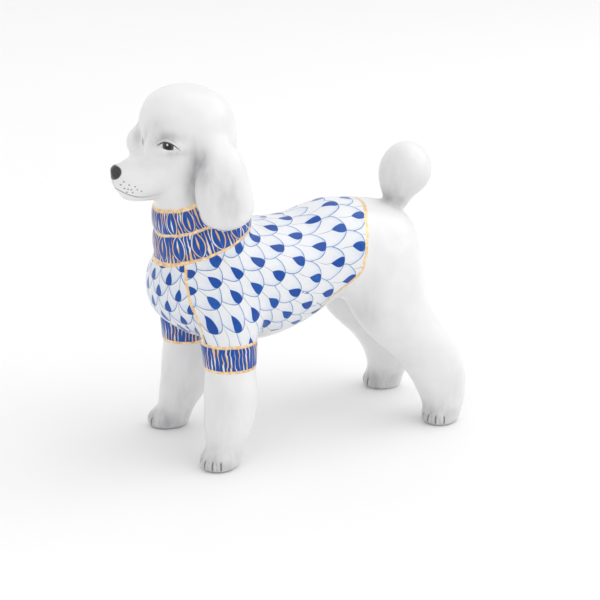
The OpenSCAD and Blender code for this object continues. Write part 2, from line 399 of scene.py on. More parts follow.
@functools.lru_cache(maxsize=1)
def glazed_skin():
    """The whole surface: points, normals and quads, and which of the quads belong to each casting."""
    sizes = bpy.context.scene.dog_shape
    clay = Clay(sizes.grain, sizes.reach)
    castings = {node: clay.from_casting(node) for node in sorted(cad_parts)}

    field = functools.reduce(np.minimum, (castings[node] for node in CORE))
    closed = filled(field < 0)
    field = clay.redistanced(np.where(closed & (field > -clay.step), -clay.step, field))
    body = blurred(field, sizes.smoothing / clay.step)
    cut, at = clay.block(FOLD_LOW - (2, 2, 12), FOLD_HIGH + 2)
    rise = collar_rise(at[1], at[2])
    near = smooth(COLLAR_FOLD + 2.5, COLLAR_FOLD + 1, np.abs(rise))
    body[cut] = body[cut] * (1 - near) + blurred(field[cut], 0.6 / clay.step) * near
    field = body
    # fillets of the limbs, which are luted on one after the other
    joins = {"ear": 3.2, "foreleg": 2.4, "hind_leg": 5.0, "pompon": 1.0}
    for kind, radius in joins.items():
        for node in (n for n in castings if n.endswith(kind)):
            limb, softness = castings[node], sizes.smoothing
            if kind == "foreleg":
                limb, softness = np.minimum(limb, castings[node.replace("foreleg", "cuff")]), 0.7
            field = melted(field, blurred(limb, softness / clay.step), radius)
    field = clay.redistanced(field)
    field = sculpt(clay, field)
    field = blurred(field, 0.35 / clay.step)

    points, quads = clay.skin(field)
    slopes = np.gradient(blurred(field, 0.5 / clay.step), clay.step)
    normals = np.stack([clay.sample(slope.astype(np.float32), points) for slope in slopes], axis=1)
    normals /= np.linalg.norm(normals, axis=1)[:, None]
    quads = facing_out(points, quads, normals)
    owner = owners(clay, castings, points, quads)
    return points, normals, quads, owner


def facing_out(points, quads, normals):
    """The quads, turned round if they face into the clay."""
    a, b, c = (points[quads[:, k]] for k in range(3))
    facing = np.einsum("ij,ij->i", np.cross(b - a, c - a), normals[quads[:, 0]])
    return quads[:, ::-1] if facing.sum() < 0 else quads


def owners(clay, castings, points, quads):
    """Which quads belong to each casting, in patches with clean edges."""
    names = sorted(castings)
    middle = points[quads].mean(axis=1)
    gap = np.stack([clay.sample(castings[name], middle) for name in names], axis=1)
    rise, hem = fold_rise(middle), hem_gap(middle)
    for k, name in enumerate(names):
        if name.endswith("hind_leg") or name == "tail_pompon":
            gap[hem < 0.9, k] += NOT_OWNED
        if name == "lower_collar_fold":
            gap[(rise > COLLAR_JOINT) | (rise < -COLLAR_FOLD - 0.2), k] += NOT_OWNED
        if name == "upper_collar_fold":
            gap[(rise < COLLAR_JOINT) | (rise > COLLAR_FOLD + 0.2), k] += NOT_OWNED
    owner = gap.argmin(axis=1)

    # the two quads at each edge
    edges = np.sort(np.stack([quads, np.roll(quads, -1, axis=1)], axis=2).reshape(-1, 2), axis=1)
    face = np.repeat(np.arange(len(quads)), 4)
    order = np.lexsort((edges[:, 1], edges[:, 0]))
    edges, face = edges[order], face[order]
    same = (edges[1:] == edges[:-1]).all(axis=1)
    left, right = face[:-1][same], face[1:][same]
    for _ in range(6):
        votes = np.zeros((len(quads), len(names)))
        votes[np.arange(len(quads)), owner] = 1.5
        np.add.at(votes, (left, owner[right]), 1)
        np.add.at(votes, (right, owner[left]), 1)
        owner = votes.argmax(axis=1)
    for _ in range(8):
        owner, changed = largest_patches(owner, left, right, len(names))
        owner, mended = without_pinches(owner, quads)
        if not changed and not mended:
            break
    return {name: owner == k for k, name in enumerate(names)}


def largest_patches(owner, left, right, count):
    """Gives every stray patch to the piece around it.

    A patch over a tenth of a piece's largest one stays, as a foreleg shows above and below its cuff.
    """
    label = np.arange(len(owner))
    joined = owner[left] == owner[right]
    a, b = left[joined], right[joined]
    while True:
        low = np.minimum(label[a], label[b])
        new = label.copy()
        np.minimum.at(new, a, low)
        np.minimum.at(new, b, low)
        new = new[new]
        if (new == label).all():
            break
        label = new
    kept = np.zeros(len(owner), bool)
    for k in range(count):
        own = np.flatnonzero(owner == k)
        if len(own):
            values, sizes = np.unique(label[own], return_counts=True)
            large = values[sizes > sizes.max() * 0.1]
            kept[own[np.isin(label[own], large)]] = True
    changed = not kept.all()
    while not kept.all():
        for a, b in ((left, right), (right, left)):
            edge = kept[a] & ~kept[b]
            if edge.any():
                owner[b[edge]] = owner[a[edge]]
                kept[b[edge]] = True
    return owner, changed


def without_pinches(owner, quads):
    """Hands over the quads where a piece would touch itself at a single point."""
    corners_of = quads.ravel()
    face = np.repeat(np.arange(len(quads)), 4)
    order = np.argsort(corners_of, kind="stable")
    starts = np.flatnonzero(np.r_[True, np.diff(corners_of[order]) > 0, True])
    mended = False
    for start, stop in zip(starts[:-1], starts[1:]):
        around = face[order[start:stop]]
        own = owner[around]
        if stop - start < 4 or (own == own[0]).all():
            continue
        ring = ring_order(around, quads, corners_of[order[start]])
        turns = sum(owner[ring[k]] != owner[ring[k - 1]] for k in range(len(ring)))
        if turns > len(set(own)) and turns > 2:
            owner[around] = np.bincount(own).argmax()
            mended = True
    return owner, mended


def ring_order(around, quads, centre):
    """The quads round one point, in turn."""
    following = {}
    for f in around:
        k = list(quads[f]).index(centre)
        following[int(quads[f][k - 1])] = (f, int(quads[f][(k + 1) % 4]))
    start = next(iter(following))
    ring, at = [], start
    while at in following and len(ring) < len(around):
        f, at = following[at]
        ring.append(f)
    return ring


def capped(points, normals, quads):
    """One piece's own points, normals and faces, with its hidden openings closed.

    The last value is the number of faces that are glazed surface; the rest are caps.
    """
    used, inverse = np.unique(quads, return_inverse=True)
    quads = inverse.reshape(quads.shape)
    points, normals = points[used], normals[used]
    starts = quads.ravel()
    ends = np.roll(quads, -1, axis=1).ravel()
    forward = set(zip(starts.tolist(), ends.tolist()))
    following = {b: a for a, b in forward if (b, a) not in forward}
    faces, extra = quads.tolist(), []
    middle = points.mean(axis=0)
    while following:
        start = next(iter(following))
        loop, at = [], start
        while at in following:
            loop.append(at)
            at = following.pop(at)
        centre = points[loop].mean(axis=0)
        inward = middle - centre
        centre = centre + inward / max(np.linalg.norm(inward), 1e-6) * 0.8
        tip = len(points) + len(extra)
        extra.append(centre)
        faces.extend([loop[k], loop[(k + 1) % len(loop)], tip] for k in range(len(loop)))
    if extra:
        points = np.vstack([points, extra])
    return points, normals, faces, len(quads)


def shading(points):
    """How much grey is laid on each point, from 0 to 1: partly grey airbrush paint, partly painted shade
    in hollows and folds and under the ears and the pompon.
    """
    side = np.abs(points[:, 0])
    at = np.stack([side, points[:, 1], points[:, 2]], axis=1)
    ear = (EAR_LOW + EAR_HIGH) / 2
    tail = (TAIL_LOW + TAIL_HIGH) / 2
    # each patch of grey, part airbrush paint and part painted shade: its middle, how far it reaches along
    # x, y and z, and its strength
    grey_and_shade_patches = [
        (EYE + (-0.5, 0.3, 2.3), (5.0, 5.0, 1.8), 0.42),
        (EYE + (-2.2, -3.4, 0.4), (2.4, 2.2, 2.4), 0.34),
        (EYE + (0.6, 1.2, -2.4), (4.0, 4.4, 1.3), 0.42),
        (EYE + (-4.5, -2.0, 6.0), (4.0, 4.0, 3.2), 0.2),
        (EYE + (-8.5, -4.4, 1.0), (1.6, 2.4, 3.0), 0.4),
        (EYE + (3.2, 8.6, -6.0), (4.2, 3.4, 6.5), 0.42),
        (EYE + (1.4, 8.2, -15.0), (4.2, 3.2, 7.5), 0.5),
        (np.array([ear[0], EAR_LOW[1] + 3, ear[2] + 2]), (5.0, 2.8, 10.0), 0.34),
        (np.array([EAR_HIGH[0], ear[1] - 0.6, ear[2] - 3]), (5.0, 4.6, 10.0), 0.34),
        (np.array([0, NOSE[1] + 2, NOSE[2] + 2]), (3.5, 3.0, 2.0), 0.14),
        (np.array([21.0, -38.5, 2.5]), (11.0, 9.0, 5.0), 0.6),
        (np.array([20.0, 47.5, 3.0]), (11.0, 9.0, 5.0), 0.6),
        (np.array([17.0, -33.0, 16.0]), (9.0, 6.0, 12.0), 0.26),
        (np.array([18.0, 54.0, 14.0]), (10.0, 5.0, 10.0), 0.22),
        (np.array([22.0, 22.0, 44.0]), (9.0, 3.5, 9.0), 0.18),
        (np.array([0, TAIL_LOW[1] + 3, TAIL_LOW[2] + 5]), (7.0, 5.0, 4.0), 0.5),
        (tail + (0, 0, -2), (11.0, 11.0, 7.0), 0.26),
        (np.array([0, tail[1] - 6, TAIL_HIGH[2] - 8]), (7.0, 3.0, 6.0), 0.2),
    ]
    total = np.zeros(len(points))
    for centre, reach, strength in grey_and_shade_patches:
        total += strength * np.exp(-(((at - centre) / np.array(reach)) ** 2).sum(axis=1))
    return np.clip(total, 0, 0.75)


def toe_gaps(points):
    """Distance across the nearest cleft between toes, and distance out from the paw's middle."""
    side = np.abs(points[:, 0])
    fore, hind = paws()[:2]
    hindmost = points[:, 1] > 0
    centre = np.where(hindmost[:, None], hind[0], fore[0])
    away = np.stack([side, points[:, 1]], axis=1) - centre[:, :2]
    bearing = np.degrees(np.arctan2(away[:, 0], -away[:, 1]))
    gaps = bearing[:, None] - np.where(hindmost[:, None], np.array(hind[1]), np.array(fore[1]))
    nearest = np.take_along_axis(gaps, np.abs(gaps).argmin(axis=1)[:, None], axis=1)[:, 0]
    reach = np.hypot(away[:, 0], away[:, 1])
    return np.radians(nearest) * reach, reach


def paint_guides(points):
    """The values that the painting is laid out from, one for each point."""
    row, column, flow, pitch, width = scale_layout(points)
    toe_gap, toe_reach = toe_gaps(points)
    return {
        "scale_row": row, "scale_column": column, "scale_flow": flow, "row_pitch": pitch,
        "column_width": width, "hem_gap": hem_gap(points), "raglan_gap": raglan_gap(points),
        # grey holds the airbrush paint together with the painted shade in hollows and folds
        "fold_rise": fold_rise(points), "fold_turn": np.abs(fold_turn(points)), "grey": shading(points),
        "cuff_turn": cuff_turn(points), "toe_gap": toe_gap, "toe_reach": toe_reach,
    }


def cuff_turn(points):
    """The angle round a foreleg, in degrees, split where it doesn't show, on the inner side."""
    middle = (CUFF_LOW + CUFF_HIGH) / 2
    return np.degrees(np.arctan2(points[:, 1] - middle[1], np.abs(points[:, 0]) - middle[0]))


def glazed_piece(node, material):
    """Makes the closed, painted piece that stands for one casting."""
    points, normals, quads, owner = glazed_skin()
    points, normals, faces, surface_faces = capped(points, normals, quads[owner[node]])
    mesh = bpy.data.meshes.new(node + "_glazed")
    mesh.from_pydata((points * MM).tolist(), [], faces)
    mesh.polygons.foreach_set("use_smooth", [True] * len(mesh.polygons))
    for name, values in paint_guides(points).items():
        guide = mesh.attributes.new(name, "FLOAT", "POINT")
        guide.data.foreach_set("value", values.astype(np.float32))
    mesh.update()
    # the surface takes the skin's normals, so that it shades on evenly into the next piece
    corner_normals = np.zeros((len(mesh.loops), 3), np.float32)
    corner_point = np.empty(len(mesh.loops), np.int32)
    mesh.loops.foreach_get("vertex_index", corner_point)
    surface = surface_faces * 4
    corner_normals[:surface] = normals[corner_point[:surface]]
    face_normals = np.empty(len(mesh.polygons) * 3, np.float32)
    mesh.polygons.foreach_get("normal", face_normals)
    corner_normals[surface:] = np.repeat(face_normals.reshape(-1, 3)[surface_faces:], 3, axis=0)
    mesh.normals_split_custom_set(corner_normals)
    mesh.materials.append(material)
    piece = added(node + "_glazed", mesh)
    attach(piece, "root")
    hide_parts(node)


def added(name, data):
    """A new object in the scene."""
    made = bpy.data.objects.new(name, data)
    bpy.context.scene.collection.objects.link(made)
    return made


# ---- Paint: shader maths as expressions ----

class Value:
    """A number socket that can be used in expressions."""

    def __init__(self, paint, socket):
        self.paint = paint
        self.socket = socket

    def math(self, operation, *others):
        """The outcome of a maths node that starts with this value."""
        sockets = {0: self, **{k + 1: other for k, other in enumerate(others)}}
        return self.paint.node("ShaderNodeMath", {"operation": operation}, sockets)[0]

    def __add__(self, other):
        return self.math("ADD", other)

    def __sub__(self, other):
        return self.math("SUBTRACT", other)

    def __mul__(self, other):
        return self.math("MULTIPLY", other)

    def __truediv__(self, other):
        return self.math("DIVIDE", other)

    def __pow__(self, other):
        return self.math("POWER", other)

    def __rsub__(self, other):
        return self.paint.number(other, "SUBTRACT", self)

    def __rtruediv__(self, other):
        return self.paint.number(other, "DIVIDE", self)

    def __abs__(self):
        return self.math("ABSOLUTE")

    __radd__ = __add__
    __rmul__ = __mul__

    def lower(self, other):
        """The lower of the two values."""
        return self.math("MINIMUM", other)

    def upper(self, other):
        """The higher of the two values."""
        return self.math("MAXIMUM", other)

    def hypot(self, other):
        """The length of two steps at right angles."""
        return (self * self + other * other).math("SQRT")

    def below(self, limit, soft=0.12):
        """1 below the limit and 0 above it, with a soft edge."""
        return self.ramp(limit + soft, limit - soft)

    def above(self, limit, soft=0.12):
        """0 below the limit and 1 above it, with a soft edge."""
        return self.ramp(limit - soft, limit + soft)

    def ramp(self, low, high):
        """0 at low and 1 at high, held at both ends."""
        settings = {"clamp": True, "interpolation_type": "SMOOTHSTEP"}
        sockets = {0: self, 1: low, 2: high, 3: 0.0, 4: 1.0}
        return self.paint.node("ShaderNodeMapRange", settings, sockets)[0]

    def clamped(self):
        """The value, held between 0 and 1."""
        return self.upper(0.0).lower(1.0)


class Paint:
    """One material's nodes."""

    def __init__(self, name):
        self.material = bpy.data.materials.new(name)
        self.material.use_nodes = True
        self.tree = self.material.node_tree
        self.tree.nodes.clear()
        self.guides = {}
        self.count = 0

    def node(self, kind, settings=None, sockets=None):
        """Adds a node, with its settings and the values or links of its sockets. Returns its outputs."""
        made = self.tree.nodes.new(kind)
        made.location = (200 * (self.count % 12), -220 * (self.count // 12))
        self.count += 1
        for key, value in (settings or {}).items():
            setattr(made, key, value)
        for key, value in (sockets or {}).items():
            if isinstance(value, Value):
                self.tree.links.new(value.socket, made.inputs[key])
            else:
                made.inputs[key].default_value = value
        return [Value(self, socket) for socket in made.outputs]

    def number(self, value, operation, other):
        """The outcome of a maths node that starts with a plain number."""
        return self.node("ShaderNodeMath", {"operation": operation}, {0: value, 1: other})[0]

    def guide(self, name):
        """One of the painting's guide values, read from the mesh."""
        if name not in self.guides:
            self.guides[name] = self.node("ShaderNodeAttribute", {"attribute_name": name})[2]
        return self.guides[name]

    def place(self):
        """x, y and z of the shaded point, in millimetres."""
        if "place" not in self.guides:
            where = self.node("ShaderNodeTexCoord")[3]
            parts = self.node("ShaderNodeSeparateXYZ", None, {0: where})
            self.guides["place"] = [part * (1 / MM) for part in parts]
        return self.guides["place"]

    def noise(self, size, detail=2.0, stretch=None):
        """Smooth noise from 0 to 1, with lumps of about this size in millimetres."""
        where = self.node("ShaderNodeTexCoord")[3]
        if stretch:
            where = self.node("ShaderNodeVectorMath", {"operation": "MULTIPLY"}, {0: where, 1: stretch})[0]
        sockets = {"Vector": where, "Scale": 1 / (size * MM), "Detail": detail}
        return self.node("ShaderNodeTexNoise", None, sockets)[0]

    def hashed(self, a, b):
        """A fixed chance value from 0 to 1 for each pair of numbers."""
        pair = self.node("ShaderNodeCombineXYZ", None, {0: a, 1: b})[0]
        return self.node("ShaderNodeTexWhiteNoise", {"noise_dimensions": "2D"}, {"Vector": pair})[0]

    def mix(self, share, colour, over):
        """Lays a colour over another by a share from 0 to 1."""
        sockets = {0: share, 6: self.colour(colour), 7: self.colour(over)}
        return self.node("ShaderNodeMix", {"data_type": "RGBA"}, sockets)[2]

    @staticmethod
    def colour(value):
        """A colour as a socket takes it."""
        return value if isinstance(value, Value) else (*tuple(value)[:3], 1.0)

    def glaze(self, base, roughness, metallic, height):
        """Finishes the material as paint under a soft, clear glaze, raised a little by the height."""
        bump = {"Strength": 0.35, "Distance": 0.2 * MM, "Height": height}
        return self.finish({
            "Base Color": base, "Roughness": roughness, "Metallic": metallic, "Specular IOR Level": 0.2,
            "Coat Weight": 0.35, "Coat Roughness": 0.1,
            "Normal": self.node("ShaderNodeBump", None, bump)[0],
        })

    def finish(self, sockets):
        """The material, once its shader has these values."""
        shader = self.node("ShaderNodeBsdfPrincipled", None, sockets)[0]
        self.node("ShaderNodeOutputMaterial", None, {"Surface": shader})
        return self.material


def white_glaze(paint, colours):
    """White porcelain with soft grey laid on: partly grey airbrush paint, partly painted shade in hollows
    and folds and under the parts.
    """
    mottle = paint.noise(9.0)
    cloud = paint.noise(2.2, 3.0, (1.0, 1.0, 0.35))
    body = paint.mix(mottle.ramp(0.3, 0.75), colours.porcelain, colours.porcelain_shade)
    # grey airbrush paint together with painted shade, read from the mesh
    grey_and_shade = (paint.guide("grey") * (cloud * 1.5 + 0.25)).clamped()
    return paint.mix(grey_and_shade, body, colours.grey)


def scales(paint, colours, settings):
    """The sweater's overlapping painted scales. Each has a fine outline, a pale wash and a solid drop."""
    pitch, width = paint.guide("row_pitch"), paint.guide("column_width")
    row = paint.guide("scale_row") + (paint.noise(7.0, 1.0) - 0.5) * settings.wander
    wander = (paint.noise(8.0, 1.0, (1.0, -1.0, 1.0)) - 0.5) * settings.wander
    column = paint.guide("scale_column") + wander
    flow = paint.guide("scale_flow")
    down, across = flow.math("COSINE"), flow.math("SINE")
    size = (pitch / 7.0).ramp(0.3, 1.1) * 0.35 + 0.68
    long_radius, side_radius = size * settings.scale_length, size * settings.scale_width * 0.5
    drop_tip = size * 2.3

    # of the scales that could cover this place, the one furthest along lies on top
    first_row = (row + down * 0.55 + 0.5).math("FLOOR")
    first_column = column + across * pitch / width * 0.55
    best = None
    for i in (-1, 0, 1):
        own_row = first_row + float(i)
        offset = own_row.math("PINGPONG", 1.0) * 0.5
        nearest = (first_column - offset + 0.5).math("FLOOR")
        for j in (-1, 0, 1):
            own_column = nearest + float(j)
            a = (row - own_row) * pitch
            b = (column - own_column - offset) * width
            along = a * down + b * across
            aside = b * down - a * across
            centre = along + long_radius - drop_tip
            reach = (centre / long_radius).hypot(aside / side_radius)
            inside = reach.below(1.0, 0.001)
            key = along * inside + (inside * 100.0 - 100.0)
            found = (key, along, aside, reach, paint.hashed(own_row, own_column))
            if best is None:
                best = found
            else:
                take = (key - best[0]).above(0.0, 0.0001)
                best = tuple(old + (new - old) * take for old, new in zip(best, found))
    key, along, aside, reach, chance = best
    covered = key.above(-50.0, 1.0)

    edge = (1.0 - reach) * side_radius
    brush = paint.noise(1.6, 2.0)
    outline = edge.below(0.24, 0.12) * covered
    wash = edge.ramp(1.5, 0.0) * covered * (brush * 0.9 + 0.4)
    # a drop: round where it meets the outline, drawn out to a point behind
    t = (along + size * 2.9) / (size * 5.1)
    half = (t.upper(0.0) ** 0.95) * ((1.0 - t).upper(0.0) ** 0.36) * (size * 3.5)
    drop = (abs(aside) - half).below(0.0, 0.1) * t.above(0.01, 0.02) * t.below(0.99, 0.02) * covered
    rib = abs(aside).below(0.09, 0.1) * along.below(-2.0, 0.4) * along.above(-7.5, 2.0) * covered
    halo = along.hypot(aside).ramp(4.4, 1.4) * 0.5 * covered

    wash_share = (wash * 0.6 + halo * (brush * 1.2)).clamped()
    colour = paint.mix(wash_share * 0.8, colours.sweater, colours.wash)
    lines = (outline * 0.95).upper(rib * 0.8) * (brush * 0.6 + 0.6)
    colour = paint.mix(lines.clamped(), colour, colours.outline)
    pool = (brush * 0.6 + chance * 0.4).ramp(0.45, 0.85)
    blue = paint.mix(pool * 0.55, colours.cobalt, colours.cobalt_light)
    return paint.mix(drop, colour, blue)


def gold_line(gap, half, wobble):
    """A brushed gold line where the gap is near zero."""
    return abs(gap + wobble).below(half, 0.09)


def collar_lines(paint):
    """A row of outlined leaves round each fold, with loose streaks between them."""
    rise = paint.guide("fold_rise") - COLLAR_GROOVE
    turn = paint.guide("fold_turn")
    leaves = 15.0
    place = turn * (leaves / 360.0) + rise.above(0.0, 0.001) * 0.12
    aside = (place - place.math("FLOOR") - 0.5) * (2 * math.pi * COLLAR_RADIUS / leaves)
    height = abs(rise) - COLLAR_FOLD * 0.5
    wobble = (paint.noise(2.2, 2.0) - 0.5) * 0.7
    half = (1.0 - (height / 4.1) ** 2.0).upper(0.0) ** 0.75 * 1.95
    outline = abs(abs(aside + wobble * 0.4) - half).below(0.19, 0.1)
    tongue = (1.0 - ((height + 0.8) / 2.2) ** 2.0).upper(0.0) * 0.3
    flame = (abs(aside + wobble * 0.5) - tongue).below(0.0, 0.08)
    around = turn * (math.radians(1) * COLLAR_RADIUS)
    strokes = streaks(paint, around, height + rise * 0.1, 1.15) * (abs(aside) - half).above(0.5, 0.1)
    return outline.upper(flame).upper(strokes)


def streaks(paint, around, along, spacing):
    """Loose wedge-shaped strokes that run across a band."""
    bend = (paint.noise(3.0, 1.0) - 0.5) * 1.1
    place = (around + bend + along * 0.06) / spacing
    cell = place.math("FLOOR")
    taper, girth = paint.hashed(cell, 3.0), paint.hashed(cell, 11.0)
    aside = abs((place - cell - 0.5) * spacing)
    wedge = along * (taper - 0.5) * 0.14 + 0.05 + girth * 0.21
    return (aside - wedge).below(0.0, 0.08)


def cobalt_band(paint, colours, brush, lines, lump, least):
    """Cobalt under gold lines, which turn to cream in lumps of about this size."""
    ground = paint.mix(brush.ramp(0.35, 0.8) * 0.5, colours.cobalt, colours.cobalt_light)
    cream = paint.noise(lump, 1.0, (1.0, 1.0, 0.6)).ramp(least, 0.6)
    return paint.mix(lines, ground, paint.mix(cream, colours.gold, colours.cream))


def porcelain(name, layers):
    """A piece's material: white glaze, with the painted layers that the piece shows."""
    colours, settings = bpy.context.scene.dog_colours, bpy.context.scene.dog_pattern
    paint = Paint(name)
    x, y, z = paint.place()
    colour = white_glaze(paint, colours)
    brush = paint.noise(1.1, 2.0)
    wobble = (paint.noise(5.0, 1.0) - 0.5) * 0.5
    rise, hem = paint.guide("fold_rise"), paint.guide("hem_gap")
    gold = paint.number(0.0, "ADD", 0.0)
    if "sweater" in layers:
        dressed = hem.below(0.0, 0.05) * rise.below(-COLLAR_FOLD + 1.4, 0.05)
        dressed = dressed * z.above(CUFF_HIGH[2], 0.05)
        colour = paint.mix(dressed, colour, scales(paint, colours, settings))
        raglan = gold_line(paint.guide("raglan_gap"), 0.5, wobble) * dressed
        raglan = raglan * z.above(CUFF_HIGH[2] - 0.5, 0.1) * y.below(-20.0)
        gold = gold.upper(gold_line(hem, 0.5, wobble)).upper(raglan)
    if "collar" in layers:
        on_collar = abs(rise - 0.4).below(COLLAR_FOLD + 0.4, 0.05)
        band = cobalt_band(paint, colours, brush, collar_lines(paint), 3.4, 0.45)
        colour = paint.mix(on_collar, colour, band)
        gold = gold.upper(gold_line(rise - COLLAR_GROOVE, 0.45, wobble))
    if "collar" in layers or "collar_top" in layers:
        gold = gold.upper(gold_line(rise - COLLAR_FOLD - 0.3, 0.5, wobble))
    if "collar" in layers or "collar_foot" in layers:
        gold = gold.upper(gold_line(rise + COLLAR_FOLD - 0.2, 0.55, wobble))
    if "cuff" in layers:
        middle = (CUFF_LOW[2] + CUFF_HIGH[2]) / 2
        on_cuff = z.above(CUFF_LOW[2] + 0.6, 0.05) * z.below(CUFF_HIGH[2], 0.05)
        around = paint.guide("cuff_turn") * (math.radians(1) * CUFF_RADIUS)
        lines = streaks(paint, around, z - middle, 1.35)
        colour = paint.mix(on_cuff, colour, cobalt_band(paint, colours, brush, lines, 2.6, 0.42))
    if "cuff" in layers or "cuff_edge" in layers:
        gold = gold.upper(gold_line(z - CUFF_HIGH[2] - 0.1, 0.5, wobble))
        gold = gold.upper(gold_line(z - CUFF_LOW[2] - 0.9, 0.5, wobble))
    if "face" in layers:
        colour = face_paint(paint, colours, colour, x, y, z)
    if "toes" in layers:
        colour = toe_paint(paint, colours, colour, z)
    # gold lines, lighter in random patches as a painted sheen
    gold_with_sheen = paint.mix(brush.ramp(0.3, 0.75), colours.gold, colours.gold_light)
    colour = paint.mix(gold * (brush * 0.3 + 0.8).clamped(), colour, gold_with_sheen)
    return paint.glaze(colour, gold * 0.05 + 0.28, gold * 0.5, gold)


def face_paint(paint, colours, colour, x, y, z):
    """Nose, mouth, whisker dots and eyes, in charcoal ink."""
    side = abs(x)
    brush = paint.noise(0.9, 2.0)
    button = (x / 3.7) ** 2.0 + ((y - NOSE[1] - 0.3) / 3.0) ** 2.0 + ((z - NOSE[2] + 0.1) / 2.45) ** 2.0
    nose = button.below(1.0, 0.1)
    rim = y - NOSE[1] - 7.9
    mouth_gap = z - (rim * rim * 0.045 + (NOSE[2] - 8.1))
    mouth = abs(mouth_gap).below(0.16, 0.16) * y.below(NOSE[1] + 12.4, 1.2)
    lip = side.below(0.2, 0.16) * z.below(NOSE[2] - 1.8) * z.above(NOSE[2] - 5.8) * y.below(NOSE[1] + 4.0)
    ink = (mouth * y.ramp(NOSE[1] + 12.0, NOSE[1] + 5.0) * 0.5 + mouth * 0.35).upper(lip * 0.8)
    spots = ((0.3, -3.4), (1.0, -2.3), (2.4, -3.3), (1.3, -4.6), (2.3, -4.8), (3.2, -5.0),
             (3.8, -6.1), (2.2, -6.0), (4.1, -3.9), (6.2, -5.6), (4.9, -5.0))
    cheek = side.above(1.6) * 0.85
    for back, up in spots:
        dot = (y - NOSE[1] - back).hypot(z - NOSE[2] - up).below(0.23, 0.12)
        ink = ink.upper(dot * cheek)

    # the eye's own flat frame: s runs from the inner to the outer corner, and t runs up
    s = (side - EYE[0]) * 0.45 + (y - EYE[1]) * 0.89
    t = z - EYE[2] + s * 0.16
    upper_lid = t - (1.1 - (s + 0.4) * (s + 0.4) * 0.13)
    lower_lid = t + (1.0 - (s - 0.2) * (s - 0.2) * 0.085)
    near = abs(s).below(3.7, 0.25) * abs(t).below(3.0) * y.below(EYE[1] + 8.0)
    between = upper_lid.below(0.0, 0.1) * lower_lid.above(0.0, 0.1) * near
    iris = (s + 0.1).hypot(t - 0.05)
    ring = iris.below(1.75, 0.14) * between
    pupil = iris.below(1.05, 0.2) * between
    glint = (s + 0.35).hypot(t - 0.5).below(0.3, 0.12) * between
    lid = abs(upper_lid).below(0.2, 0.16) * near * (1.0 - abs(s).ramp(2.4, 3.8) * 0.6)
    lower = abs(lower_lid).below(0.08, 0.14) * near * 0.45
    crease = abs(upper_lid - 1.1).below(0.1, 0.25) * near * 0.22

    # the furrow between the brows
    furrow = ((x - 0.4) * 1.6).hypot((z - EYE[2] + 0.4) * math.sqrt(0.35)).below(0.75, 0.35)
    ink = ink.upper(furrow * y.below(EYE[1] - 1.0) * 0.75)
    colour = paint.mix((nose * (brush * 0.2 + 0.9)).clamped(), colour, colours.ink)
    colour = paint.mix(ink * (brush * 0.4 + 0.7), colour, colours.ink)
    colour = paint.mix(between * 0.1, colour, colours.grey)
    colour = paint.mix(ring * 0.97, colour, colours.ink)
    colour = paint.mix(pupil, colour, colours.pupil)
    colour = paint.mix(lid.upper(lower).upper(crease), colour, colours.ink)
    return paint.mix(glint * 0.75, colour, colours.porcelain)


def toe_paint(paint, colours, colour, z):
    """A short charcoal stroke in each cleft between the toes."""
    stroke = abs(paint.guide("toe_gap")).below(0.3, 0.14) * paint.guide("toe_reach").above(4.8, 0.5)
    stroke = stroke * z.below(3.9, 0.5) * z.above(1.0, 0.4)
    return paint.mix(stroke * 0.72, colour, colours.ink)


# ---- Settings ----

def colour_property(name, description, default):
    """A colour that the user can change."""
    return FloatVectorProperty(
        name=name, description=description, default=default, subtype="COLOR", size=3, min=0, max=1)


class DogShape(bpy.types.PropertyGroup):
    """How the glazed skin is made."""
    grain: FloatProperty(
        name="Grain", description="Spacing of the modelling grid, in millimetres",
        default=0.5, min=0.4, max=1.5)
    reach: FloatProperty(
        name="Reach", description="How far distances are kept from the skin, in millimetres",
        default=5.0, min=3, max=8)
    smoothing: FloatProperty(
        name="Smoothing", description="How far the castings are sponged smooth, in millimetres",
        default=1.1, min=0.3, max=2)


class DogColours(bpy.types.PropertyGroup):
    """Body, glaze colours and gold."""
    porcelain: colour_property("Porcelain", "White body under clear glaze", (0.82, 0.817, 0.818))
    porcelain_shade: colour_property(
        "Porcelain Shade", "White where the glaze is thicker", (0.775, 0.773, 0.777))
    # grey for the airbrush paint and for the painted shade in hollows and folds
    grey: colour_property("Sprayed Grey", "Soft grey shading", (0.27, 0.27, 0.285))
    sweater: colour_property("Sweater Ground", "Ground of the painted scales", (0.79, 0.805, 0.825))
    wash: colour_property("Wash", "Pale wash inside each scale", (0.42, 0.58, 0.84))
    outline: colour_property("Outline", "Fine line round each scale", (0.06, 0.13, 0.36))
    cobalt: colour_property("Cobalt", "Drops and collar", (0.0, 0.058, 0.335))
    cobalt_light: colour_property("Light Cobalt", "Cobalt where the brush was dry", (0.008, 0.13, 0.47))
    gold: colour_property("Gold", "Bright gold lines", (0.78, 0.48, 0.2))
    gold_light: colour_property("Light Gold", "Gold where it catches the light", (0.97, 0.78, 0.5))
    cream: colour_property("Cream", "Pale strokes on the cobalt", (0.85, 0.78, 0.7))
    ink: colour_property("Ink", "Nose, lids, mouth and toes", (0.045, 0.038, 0.042))
    pupil: colour_property("Pupil", "Middle of the eye", (0.008, 0.008, 0.009))


class DogPattern(bpy.types.PropertyGroup):
    """Size of the painted scales."""
    scale_length: FloatProperty(
        name="Scale Length", description="Half the length of a scale, in millimetres",
        default=7.4, min=4, max=12)
    scale_width: FloatProperty(
        name="Scale Width", description="Width of a scale, in millimetres", default=10.8, min=6, max=14)
    wander: FloatProperty(
        name="Wander", description="How unevenly the scales are placed, as a share of a row",
        default=0.22, min=0, max=0.5)


